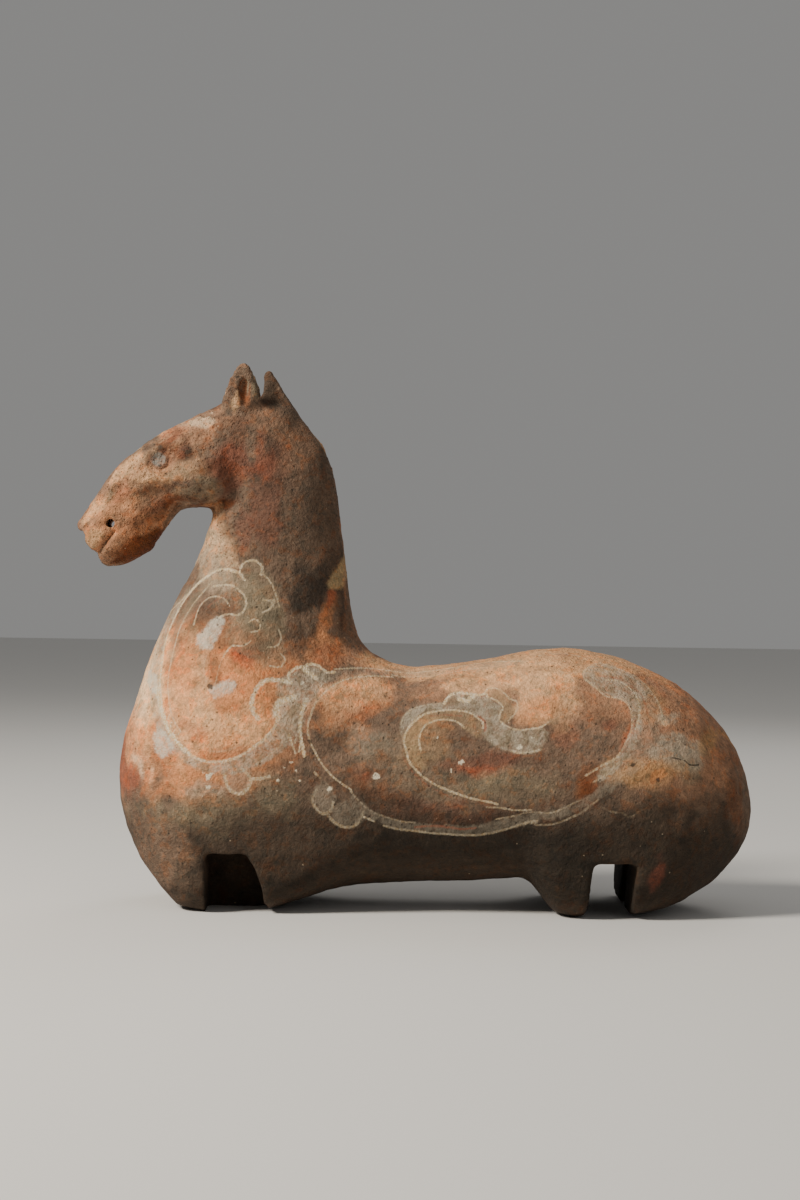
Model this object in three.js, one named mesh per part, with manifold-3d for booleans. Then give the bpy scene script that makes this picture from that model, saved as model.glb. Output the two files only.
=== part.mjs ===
// A terracotta horse figure that faces -X and rests on the stubs of its four legs.
// It is one fired-clay body: head, neck, trunk and stubs. The wooden legs it once had are missing,
// and the sockets that took them are open at the sides and below.
import * as THREE from "three";
import { mergeVertices } from "three/addons/utils/BufferGeometryUtils.js";
import Module from "manifold-3d";

// Driving sizes, in millimetres.
const LENGTH = 602; // nose to rump
const WIDTH = 192; // across the haunches
const FRONT_SOCKET_TOP = 35; // along the body, at the roof of the socket
const FRONT_SOCKET_MOUTH = 53; // along the body, at the foot of the socket
const FRONT_SOCKET_HEIGHT = 52; // above the line the figure is drawn from
const FRONT_SOCKET_WALL = 14; // clay between a front socket and the gap between the forelegs
const HIND_SOCKET_WIDTH = 38;
const HIND_SOCKET_HEIGHT = 44;
const HIND_SOCKET_LEAN = 5; // how far the foot of the socket stands ahead of its roof
const FORELEG_GAP = 28;
const FORELEG_GAP_HEIGHT = 33;
const HINDLEG_GAP = 40;
const HINDLEG_GAP_HEIGHT = 40;
const BIT_HOLE = 8; // diameter of the hole through the corner of the mouth
const MOUTH_SLIT = 1.8;
const MOUTH_DEPTH = 5;
const NOSTRIL_WIDTH = 4;
const NOSTRIL_DEPTH = 5;
const NOSTRIL_HEIGHT = 9;
const EYE_DIAMETER = 15;
const EYE_RISE = 2; // above the hollow that the eye lies in
const EAR_HEIGHT = 38; // above the poll
const EAR_WIDTH = 35;
const EAR_THICKNESS = 15;
const EAR_SPACING = 34; // between the middles of the two feet
const MANE_THICKNESS = 9;
const FOOT_FLAT = 2.2; // clay taken off below, which leaves each stub a small flat

// The figure is drawn as its photograph shows it, then leant until both pairs of stubs are level.
const STANCE_LEAN = 0.015; // radians

// Mesh fineness: how far apart the rings across the body may be, and how many points each has.
const HEAD_RING_PITCH = 7;
const BODY_RING_PITCH = 19;
const RING_SIDES = 36;
const HEAD_STATIONS = 12;

const SHARE = LENGTH / 1000; // places below are in thousandths of the length
const HALF_WIDTH_SHARE = WIDTH / 200; // and half widths in hundredths of half the width
const OUTSIDE = WIDTH; // a distance from the middle that is clear of the figure

// Each station is a ring across the body, from the lips, up the head, down the neck and back along
// the trunk. It has a point on the upper line, a point on the lower line, the half width, how far up
// the ring it is widest, and how square its upper and lower halves are (2 is an ellipse).
const STATIONS = [
  // muzzle and face
  [[-489, 532], [-489, 532], 0, 0.5, 2, 2],
  [[-497, 553], [-475, 516], 12, 0.5, 2.2, 2.2],
  [[-501, 564], [-461, 504], 19, 0.48, 2.3, 2.3],
  [[-490, 584], [-445, 501], 22, 0.46, 2.3, 2.3],
  [[-476, 606], [-422, 509], 23, 0.46, 2.2, 2.2],
  [[-458, 633], [-392, 528], 24, 0.5, 2.2, 2.1],
  [[-437, 658], [-377, 550], 26, 0.54, 2.2, 2],
  [[-410, 679], [-365, 568], 29, 0.55, 2.2, 2],
  [[-373, 702], [-350, 585], 31, 0.52, 2.2, 2.2],
  [[-336, 721], [-337, 589], 33, 0.48, 2.2, 2.3],
  [[-303, 737], [-319, 589], 34, 0.48, 2.1, 2.3],
  [[-274, 748], [-308, 588], 34, 0.5, 2, 2.2],
  [[-244, 751], [-303, 586], 33, 0.52, 2, 2],
  // neck
  [[-214, 751], [-302, 583], 33, 0.52, 1.9, 2],
  [[-184, 744], [-302, 576], 33, 0.52, 1.8, 2],
  [[-157, 706], [-304, 565], 34, 0.5, 1.7, 2],
  [[-135, 678], [-310, 550], 35, 0.5, 1.7, 2],
  [[-121, 639], [-317, 529], 37, 0.5, 1.7, 2],
  [[-112, 586], [-331, 497], 41, 0.48, 1.7, 2],
  [[-105, 534], [-346, 471], 46, 0.48, 1.7, 2],
  [[-100, 482], [-361, 443], 53, 0.47, 1.7, 2],
  [[-94, 434], [-379, 404], 61, 0.46, 1.7, 2],
  // withers, shoulders and chest
  [[-85, 398], [-397, 359], 70, 0.45, 1.7, 2.1],
  [[-72, 378], [-413, 311], 77, 0.44, 1.75, 2.1],
  [[-52, 365], [-430, 260], 83, 0.43, 1.8, 2.2],
  [[-34, 357], [-440, 205], 87, 0.42, 1.85, 2.2],
  [[-22, 354], [-439, 157], 89, 0.42, 1.9, 2.3],
  [[-15, 353], [-428, 114], 90, 0.42, 1.9, 2.5],
  [[-9, 352], [-407, 71], 90, 0.42, 1.95, 3.2],
  [[-3, 351], [-378, 34], 91, 0.42, 2, 4.2],
  // stubs of the forelegs
  [[4, 351], [-348, 5], 91, 0.42, 2, 5.5],
  [[12, 352], [-307, -3], 91, 0.42, 2, 7],
  [[21, 353], [-261, -4], 91, 0.43, 2.05, 7],
  [[31, 354], [-217, 0], 91, 0.44, 2.1, 6.2],
  // barrel
  [[42, 354], [-178, 9], 90, 0.45, 2.1, 4.6],
  [[55, 356], [-136, 20], 89, 0.46, 2.15, 3.4],
  [[72, 358], [-87, 28], 89, 0.47, 2.2, 2.7],
  [[91, 360], [-36, 31], 89, 0.48, 2.2, 2.6],
  [[112, 363], [15, 33], 90, 0.48, 2.2, 2.6],
  [[135, 368], [67, 34], 91.5, 0.48, 2.2, 2.6],
  [[157, 373], [118, 36], 93.4, 0.48, 2.2, 2.6],
  [[180, 377], [154, 40], 95.2, 0.48, 2.2, 3],
  [[195, 378], [168, 36], 96.3, 0.48, 2.2, 3.8],
  // stubs of the hind legs
  [[207, 379], [184, 17], 97.2, 0.48, 2.2, 5],
  [[220, 379], [202, -4], 98, 0.48, 2.2, 6.2],
  [[237, 378], [225, -9], 98.9, 0.48, 2.2, 7],
  [[256, 376], [251, -9], 99.6, 0.48, 2.2, 7],
  [[277, 372], [283, -7], 100, 0.48, 2.2, 7],
  [[301, 366], [313, -6], 100, 0.48, 2.2, 7],
  [[326, 357], [338, -4], 99, 0.48, 2.2, 6.2],
  // rump
  [[353, 345], [362, 0], 96.6, 0.48, 2.15, 5],
  [[383, 329], [388, 5], 91.5, 0.48, 2.1, 3.8],
  [[412, 308], [413, 17], 83.5, 0.48, 2.1, 2.9],
  [[437, 284], [439, 30], 73.5, 0.48, 2, 2.3],
  [[460, 259], [461, 51], 60.5, 0.48, 2, 2.1],
  [[478, 230], [479, 70], 46, 0.48, 2, 2],
  [[490, 200], [491, 92], 32, 0.48, 2, 2],
  [[497, 170], [498, 113], 17, 0.48, 2, 2],
  [[500, 140], [500, 140], 0, 0.5, 2, 2],
];

// Swellings and hollows of both sides: middle, half extents and rise, in thousandths of the length,
// the turn of the long way in degrees, and the share of the radius that is a level top.
const RELIEF = [
  { name: "cheek", at: [-317, 637], size: [54, 52], rise: 9, turn: 0, level: 0.45 },
  { name: "groove behind the jaw", at: [-262, 616], size: [52, 20], rise: -7, turn: 55, level: 0.1 },
  { name: "eye socket", at: [-382, 658], size: [30, 24], rise: -4, turn: 25, level: 0.2 },
  { name: "brow", at: [-370, 690], size: [40, 16], rise: 4, turn: 25, level: 0.1 },
  { name: "bars of the jaw", at: [-392, 598], size: [34, 24], rise: -4, turn: 35, level: 0.1 },
  { name: "nostril", at: [-452, 620], size: [20, 12], rise: 4, turn: 60, level: 0.3 },
  { name: "upper lip", at: [-474, 550], size: [20, 16], rise: 2, turn: 60, level: 0.2 },
  { name: "lower lip", at: [-441, 529], size: [24, 20], rise: 3, turn: 30, level: 0.2 },
  { name: "shoulder", at: [-265, 235], size: [130, 150], rise: 7, turn: 0, level: 0.2 },
  { name: "neck hollow", at: [-165, 395], size: [75, 65], rise: -5, turn: 0, level: 0 },
  { name: "elbow", at: [-165, 70], size: [55, 50], rise: -3, turn: 0, level: 0 },
  { name: "haunch", at: [335, 200], size: [130, 140], rise: 5, turn: 0, level: 0.2 },
  { name: "flank", at: [175, 120], size: [50, 95], rise: -5, turn: 0, level: 0 },
];

// Places of the smaller features, in thousandths of the length.
const FRONT_SOCKET_FRONT = -303;
const HIND_SOCKET_FRONT = 254;
const FORELEG_GAP_MIDDLE = -249;
const FORELEG_GAP_REACH = 80;
const HINDLEG_GAP_MIDDLE = 316;
const HINDLEG_GAP_REACH = 183;
const BIT_HOLE_AT = [-451, 564];
const MOUTH_CORNER = [-453, 556];
const MOUTH_FRONT = [-474, 521];
const EYE_AT = [-385, 661];
const EYE_SEAT = 24; // half width of the head in that hollow, in millimetres
const NOSTRIL_AT = [-450, 614];
const EAR_FOOT = [-258, 738];
const EAR_LEAN = 3; // how far the tip stands behind the foot
const EAR_SPLAY = 7; // how much further out each tip stands than its foot
const MANE_TIP = [
  [-231, 715], [-229, 745], [-225, 766], [-223, 785], [-218, 791], [-208, 781], [-193, 757], [-172, 727], [-185, 700],
];
// What has broken away from the lips leaves this outline.
const LIP_BREAK = [
  [-520, 562], [-501, 557], [-492, 550], [-490, 540], [-487, 532], [-476, 526], [-471, 521], [-485, 505], [-520, 505],
];

const wasm = await Module();
wasm.setup();

const smooth = (t) => t * t * (3 - 2 * t);
const clamp01 = (t) => Math.min(1, Math.max(0, t));
const inShares = ([x, z]) => new THREE.Vector2(x * SHARE, z * SHARE);

// A closed solid from a geometry, with its shared vertices merged.
function solidOf(geometry) {
  const bare = new THREE.BufferGeometry();
  bare.setAttribute("position", geometry.getAttribute("position"));
  bare.setIndex(geometry.getIndex());
  const merged = mergeVertices(bare, 1e-4);
  return new wasm.Manifold(
    new wasm.Mesh({
      numProp: 3,
      vertProperties: merged.attributes.position.array,
      triVerts: new Uint32Array(merged.index.array),
    }),
  );
}

// A geometry from a solid.
function geometryOf(solid) {
  const { vertProperties, triVerts } = solid.getMesh();
  const geometry = new THREE.BufferGeometry();
  geometry.setAttribute("position", new THREE.BufferAttribute(vertProperties, 3));
  geometry.setIndex(new THREE.BufferAttribute(triVerts, 1));
  geometry.computeVertexNormals();
  return geometry;
}

// A solid skinned over rings of equally many points, closed by a point at each end. Each four-sided
// patch is split along its shorter diagonal.
function loft(firstPoint, rings, lastPoint) {
  const sides = rings[0].length;
  const points = [firstPoint, ...rings.flat(), lastPoint];
  const last = points.length - 1;
  const faces = [];
  for (let i = 0; i < sides; i++) {
    const next = (i + 1) % sides;
    faces.push(0, 1 + i, 1 + next);
    faces.push(last, last - sides + next, last - sides + i);
    for (let ring = 0; ring < rings.length - 1; ring++) {
      const here = 1 + ring * sides;
      const there = here + sides;
      const [a, b, c, d] = [here + i, there + i, there + next, here + next];
      if (points[a].distanceTo(points[c]) < points[b].distanceTo(points[d])) {
        faces.push(a, b, c, a, c, d);
      } else {
        faces.push(a, b, d, b, c, d);
      }
    }
  }
  const geometry = new THREE.BufferGeometry();
  geometry.setFromPoints(points);
  geometry.setIndex(faces);
  return solidOf(geometry);
}

// A station's values as one flat row, and the row at any place between stations.
const rowOf = ([top, foot, ...shape]) => [...top, ...foot, ...shape];
function rowAt(place) {
  const before = Math.min(Math.floor(place), STATIONS.length - 2);
  const t = place - before;
  const near = [-1, 0, 1, 2].map((step) => {
    const index = Math.min(STATIONS.length - 1, Math.max(0, before + step));
    return rowOf(STATIONS[index]);
  });
  return near[1].map((_, k) => {
    const [a, b, c, d] = near.map((row) => row[k]);
    return b + 0.5 * t * (c - a + t * (2 * a - 5 * b + 4 * c - d + t * (3 * (b - c) + d - a)));
  });
}

// How far the side of the figure stands out at a place, in thousandths of the length.
function reliefAt(x, z) {
  let rise = 0;
  for (const feature of RELIEF) {
    const turn = THREE.MathUtils.degToRad(feature.turn);
    const dx = x - feature.at[0];
    const dz = z - feature.at[1];
    const along = (dx * Math.cos(turn) + dz * Math.sin(turn)) / feature.size[0];
    const across = (dz * Math.cos(turn) - dx * Math.sin(turn)) / feature.size[1];
    const reach = clamp01((1 - Math.hypot(along, across)) / (1 - feature.level));
    rise += feature.rise * smooth(reach);
  }
  return rise;
}

// The points of the ring at a place along the stations.
function ringAt(place) {
  const [topX, topZ, footX, footZ, half, widest, crown, base] = rowAt(place);
  const points = [];
  for (let i = 0; i < RING_SIDES; i++) {
    const angle = (2 * Math.PI * i) / RING_SIDES;
    const up = Math.cos(angle);
    const power = 2 / (up > 0 ? crown : base);
    const rise = Math.abs(up) ** power;
    const out = Math.abs(Math.sin(angle)) ** power;
    const share = up > 0 ? widest + (1 - widest) * rise : widest - widest * rise;
    const x = footX + (topX - footX) * share;
    const z = footZ + (topZ - footZ) * share;
    const bulge = reliefAt(x, z) * SHARE * out * Math.min(1, half / 20);
    const y = Math.sign(Math.sin(angle)) * (out * half * HALF_WIDTH_SHARE + bulge);
    points.push(new THREE.Vector3(x * SHARE, y, z * SHARE));
  }
  return points;
}

// Where the rings lie along the stations: evenly between each station and the next.
function ringPlaces() {
  const places = [];
  for (let station = 0; station < STATIONS.length - 1; station++) {
    const [topX, topZ, footX, footZ] = rowAt(station);
    const [nextTopX, nextTopZ, nextFootX, nextFootZ] = rowAt(station + 1);
    const above = Math.hypot(nextTopX - topX, nextTopZ - topZ);
    const below = Math.hypot(nextFootX - footX, nextFootZ - footZ);
    const pitch = station < HEAD_STATIONS ? HEAD_RING_PITCH : BODY_RING_PITCH;
    const steps = Math.ceil((Math.max(above, below) * SHARE) / pitch - 0.5);
    for (let step = 0; step < Math.max(1, steps); step++) {
      places.push(station + step / Math.max(1, steps));
    }
  }
  return places.slice(1);
}

function makeTrunk() {
  const last = STATIONS.length - 1;
  const rings = ringPlaces().map(ringAt);
  const [noseX, noseZ] = rowAt(0);
  const [rumpX, rumpZ] = rowAt(last);
  const nose = new THREE.Vector3(noseX * SHARE, 0, noseZ * SHARE);
  const rump = new THREE.Vector3(rumpX * SHARE, 0, rumpZ * SHARE);
  return loft(nose, rings, rump);
}

// One ear, a leaf that narrows to its tip, with the hollow of its outer side scooped out.
function makeEar(side) {
  const levels = [-0.4, -0.2, 0, 0.2, 0.4, 0.6, 0.78, 0.9, 0.97]; // shares of the height
  const sides = 16;
  const foot = inShares(EAR_FOOT);
  const placed = (share, x, y) =>
    new THREE.Vector3(
      foot.x + EAR_LEAN * share + x,
      side * (EAR_SPACING / 2 + EAR_SPLAY * share + y),
      foot.y + EAR_HEIGHT * share,
    );
  const rings = levels.map((share) => {
    const taper = share > 0 ? Math.sqrt(1 - share ** 1.1) : 1 + share;
    return Array.from({ length: sides }, (_, i) => {
      const angle = (-2 * Math.PI * side * i) / sides;
      const x = (EAR_WIDTH / 2) * taper * Math.cos(angle);
      const y = (EAR_THICKNESS / 2) * taper * Math.sin(angle);
      return placed(share, x, y);
    });
  });
  const leaf = loft(placed(levels[0], 0, 0), rings, placed(1, 0, 0));
  const scoop = new THREE.SphereGeometry(1, 14, 10);
  scoop.scale(EAR_WIDTH * 0.24, EAR_THICKNESS * 0.3, EAR_HEIGHT * 0.42);
  scoop.rotateZ(-side * 0.35);
  const mouth = placed(0.42, -EAR_WIDTH * 0.06, EAR_THICKNESS * 0.42);
  scoop.translate(mouth.x, mouth.y, mouth.z);
  return leaf.subtract(solidOf(scoop));
}

// A plate with the given outline in the side view, between two distances to the side.
function plate(outline, from, to) {
  const geometry = new THREE.ExtrudeGeometry(outline, { depth: to - from, bevelEnabled: false, curveSegments: 6 });
  geometry.rotateX(Math.PI / 2);
  geometry.translate(0, to, 0);
  return solidOf(geometry);
}

const outlineOf = (shares) => new THREE.Shape(shares.map(inShares));

// The hole for the tenon of a foreleg: square at the front, rounded at the back, open below.
function frontSocket(side) {
  const front = FRONT_SOCKET_FRONT * SHARE;
  const below = -FRONT_SOCKET_HEIGHT;
  const outline = new THREE.Shape();
  outline.moveTo(front, below);
  outline.lineTo(front + FRONT_SOCKET_MOUTH, below);
  outline.lineTo(front + FRONT_SOCKET_MOUTH, 0);
  outline.quadraticCurveTo(
    front + FRONT_SOCKET_MOUTH * 0.93,
    FRONT_SOCKET_HEIGHT * 0.75,
    front + FRONT_SOCKET_TOP,
    FRONT_SOCKET_HEIGHT,
  );
  outline.lineTo(front, FRONT_SOCKET_HEIGHT);
  const inner = FORELEG_GAP / 2 + FRONT_SOCKET_WALL;
  return side < 0 ? plate(outline, -OUTSIDE, -inner) : plate(outline, inner, OUTSIDE);
}

// The hole for the tenons of both hind legs, which runs right through.
function hindSocket() {
  const front = HIND_SOCKET_FRONT * SHARE;
  const below = -HIND_SOCKET_HEIGHT;
  const outline = new THREE.Shape();
  outline.moveTo(front - 2 * HIND_SOCKET_LEAN, below);
  outline.lineTo(front + HIND_SOCKET_WIDTH - 2 * HIND_SOCKET_LEAN, below);
  outline.lineTo(front + HIND_SOCKET_WIDTH, HIND_SOCKET_HEIGHT);
  outline.lineTo(front, HIND_SOCKET_HEIGHT);
  return plate(outline, -OUTSIDE, OUTSIDE);
}

// The arched gap between a pair of legs.
function legGap(middle, reach, gap, height) {
  const arch = new THREE.SphereGeometry(1, 24, 16);
  arch.rotateX(Math.PI / 2);
  arch.scale(reach * SHARE, gap / 2, height);
  arch.translate(middle * SHARE, 0, 0);
  return solidOf(arch);
}

// The slit of the mouth on one side.
function mouthSlit(side) {
  const corner = inShares(MOUTH_CORNER);
  const front = inShares(MOUTH_FRONT);
  const half = front.clone().sub(corner).normalize().rotateAround(new THREE.Vector2(), Math.PI / 2);
  half.multiplyScalar(MOUTH_SLIT / 2);
  const outline = new THREE.Shape([
    corner.clone().add(half),
    front.clone().add(half),
    front.clone().sub(half),
    corner.clone().sub(half),
  ]);
  const [, , , , halfWidth] = rowAt(3);
  const inner = halfWidth * HALF_WIDTH_SHARE - MOUTH_DEPTH;
  return side < 0 ? plate(outline, -OUTSIDE, -inner) : plate(outline, inner, OUTSIDE);
}

function bitHole() {
  const at = inShares(BIT_HOLE_AT);
  const hole = new THREE.CylinderGeometry(BIT_HOLE / 2, BIT_HOLE / 2, WIDTH, 16);
  hole.translate(at.x, 0, at.y);
  return solidOf(hole);
}

// One eye, a shallow lens.
function eye(side) {
  const at = inShares(EYE_AT);
  const lens = new THREE.SphereGeometry(1, 20, 10);
  lens.rotateX(Math.PI / 2);
  lens.scale(EYE_DIAMETER / 2, 2 * EYE_RISE, EYE_DIAMETER / 2);
  lens.translate(at.x, side * (EYE_SEAT - EYE_RISE), at.y);
  return solidOf(lens);
}

function nostril(side) {
  const at = inShares(NOSTRIL_AT);
  const [, , , , halfWidth] = rowAt(4);
  const pit = new THREE.SphereGeometry(1, 12, 8);
  pit.scale(NOSTRIL_WIDTH / 2, NOSTRIL_DEPTH / 2, NOSTRIL_HEIGHT / 2);
  pit.rotateY(THREE.MathUtils.degToRad(30));
  pit.translate(at.x, side * halfWidth * HALF_WIDTH_SHARE, at.y);
  return solidOf(pit);
}

function makeHorse() {
  const sides = [-1, 1];
  const mane = plate(outlineOf(MANE_TIP), -MANE_THICKNESS / 2, MANE_THICKNESS / 2);
  let clay = makeTrunk().add(mane);
  for (const side of sides) {
    clay = clay.add(makeEar(side)).add(eye(side));
  }
  const cuts = [
    ...sides.map(frontSocket),
    ...sides.map(mouthSlit),
    ...sides.map(nostril),
    hindSocket(),
    bitHole(),
    plate(outlineOf(LIP_BREAK), -OUTSIDE, OUTSIDE),
    legGap(FORELEG_GAP_MIDDLE, FORELEG_GAP_REACH, FORELEG_GAP, FORELEG_GAP_HEIGHT),
    legGap(HINDLEG_GAP_MIDDLE, HINDLEG_GAP_REACH, HINDLEG_GAP, HINDLEG_GAP_HEIGHT),
  ];
  for (const cut of cuts) {
    clay = clay.subtract(cut);
  }
  return clay;
}

// Leans the drawn figure until its stubs are level, flattens their undersides, and puts the origin
// under its middle, on the surface that it stands on.
function standUp(clay) {
  const leant = geometryOf(clay).rotateY(-STANCE_LEAN);
  leant.computeBoundingBox();
  const ground = leant.boundingBox.min.z + FOOT_FLAT;
  leant.translate(0, 0, -ground);
  const below = new THREE.BoxGeometry(3 * LENGTH, 3 * WIDTH, LENGTH);
  below.translate(0, 0, -LENGTH / 2);
  const standing = geometryOf(solidOf(leant).subtract(solidOf(below)));
  standing.computeBoundingBox();
  const middle = standing.boundingBox.getCenter(new THREE.Vector3());
  return standing.translate(-middle.x, -middle.y, 0);
}

const terracotta = new THREE.MeshStandardMaterial({
  color: new THREE.Color(0.56, 0.36, 0.24),
  roughness: 0.92,
  metalness: 0,
});

const horse = new THREE.Mesh(standUp(makeHorse()), terracotta);
horse.name = "horse";

const figure = new THREE.Group();
figure.name = "terracotta_horse";
figure.add(horse);

export default figure;
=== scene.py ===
"""Dresses the terracotta horse: evens out its clay, works the surface, and paints its worn scrolls."""

import math

import bmesh
import bpy
import numpy as np
from mathutils import Euler, Matrix, Vector
from mathutils.bvhtree import BVHTree
from mathutils.kdtree import KDTree


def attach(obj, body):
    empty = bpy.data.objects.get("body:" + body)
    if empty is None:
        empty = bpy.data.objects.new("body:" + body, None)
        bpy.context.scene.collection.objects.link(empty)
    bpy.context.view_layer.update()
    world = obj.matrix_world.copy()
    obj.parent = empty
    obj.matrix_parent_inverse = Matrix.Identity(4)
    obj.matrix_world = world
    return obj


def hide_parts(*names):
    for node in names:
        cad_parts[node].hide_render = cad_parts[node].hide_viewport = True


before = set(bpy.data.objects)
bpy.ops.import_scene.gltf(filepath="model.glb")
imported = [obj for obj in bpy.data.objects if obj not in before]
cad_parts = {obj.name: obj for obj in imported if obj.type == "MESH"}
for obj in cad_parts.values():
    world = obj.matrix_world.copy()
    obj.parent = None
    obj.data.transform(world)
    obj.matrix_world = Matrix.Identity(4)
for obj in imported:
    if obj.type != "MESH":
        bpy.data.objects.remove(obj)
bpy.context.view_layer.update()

MM = 0.001

# The camera stands level at the horse's left side, turned by the small lean of the stance.
PICTURE = (800, 1200)  # the photograph's size in pixels
PIXEL = 0.9 * MM  # what one pixel of the photograph covers on the plane through nose and rump
DISTANCE = 2.0
STANCE_LEAN = 0.015
EYE_LINE = (-0.0139, 0.27335)  # where the camera's axis meets that plane, as X and Z
SENSOR = 36.0
FLOOR = 12.0  # half the floor's length
PALE_FLOOR = (0.7, 0.69, 0.67, 1)
RIGHT = np.array([math.cos(STANCE_LEAN), 0.0, math.sin(STANCE_LEAN)])
UP = np.array([-math.sin(STANCE_LEAN), 0.0, math.cos(STANCE_LEAN)])
FORWARD = np.array([0.0, 1.0, 0.0])
CAMERA_PLACE = np.array([EYE_LINE[0], -DISTANCE, EYE_LINE[1]])

# The mesh is finer left of the head's mark and above it in the photograph, or of the crown's.
VOXEL = 3.1 * MM
HEAD_PART = (262, 575)
CROWN = (307, 420)
TIPS = ((243, 368), (269, 375))  # the points of the ear and the mane, which aren't smoothed away
TIP_REACH = 9

# Unevenness of the shaped clay: height and breadth of the lumps in millimetres, and the seed.
HAND_MARKS = [(0.55, 44, 3), (0.32, 21, 5), (0.3, 11, 9), (0.27, 6.5, 15)]

# How noise is tilted away from the main directions, as turns in radians.
TURNS = (0.5, 0.65, 0.35)

# The painting, in pixels: rows that its strokes lie between, and how far from an outline, and from a stroke
# or spot, its distance is told.
PAINTED_ROWS = (430, 885)
FAR = 30.0
BEYOND = 20.0

# What the other hand of the far side does: strokes a little weaker, shifted and unsteady, in pixels.
FAR_SIDE_STRENGTH = 0.85
FAR_SIDE_SHIFT = 5.0
FAR_SIDE_WOBBLE = 2.5

# How far the edges of patches wander, in pixels: on the sides, and more on the front and the rump. Past the
# ragged half width a patch's edge gets no more ragged.
SIDE_WANDER = 4
END_WANDER = 22
RAGGED = 24

# Lights, all aimed at the middle of the horse: name, place, size, power in watts, colour.
MIDDLE = (0.0, 0.0, 0.24)
LIGHTS = [
    ("key", (-2.0, -1.15, 2.0), 0.8, 122, (1.0, 0.93, 0.82)),
    ("fill", (1.6, -2.4, 1.2), 1.6, 4, (1.0, 0.97, 0.93)),
    ("rim", (0.8, 2.0, 2.0), 1.4, 12, (1.0, 0.97, 0.92)),
]
STUDIO = (0.9, 0.89, 0.87, 1)
STUDIO_STRENGTH = 0.28

# Colours as they look on a screen.
EARTH = (112, 91, 75)
# dark loam of the belly, deepened to stand in for its shade: painted shade
LOAM_AND_SHADE = (37, 31, 24)
BARK = (92, 50, 26)
CLAY = (166, 122, 92)
ORANGE = (215, 142, 92)
PEACH = (234, 184, 136)
CREAM = (228, 204, 170)
RED = (160, 82, 54)
WINE = (122, 66, 50)
RUST = (122, 72, 40)
GOLD = (190, 142, 92)
SOOT = (52, 46, 40)
UMBER = (72, 59, 48)
OLIVE = (134, 121, 98)
GREY = (178, 166, 145)
CHALK = (230, 216, 188)
SAND = (208, 178, 130)
MILK = (208, 202, 184)
SLATE = (122, 124, 118)

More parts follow.
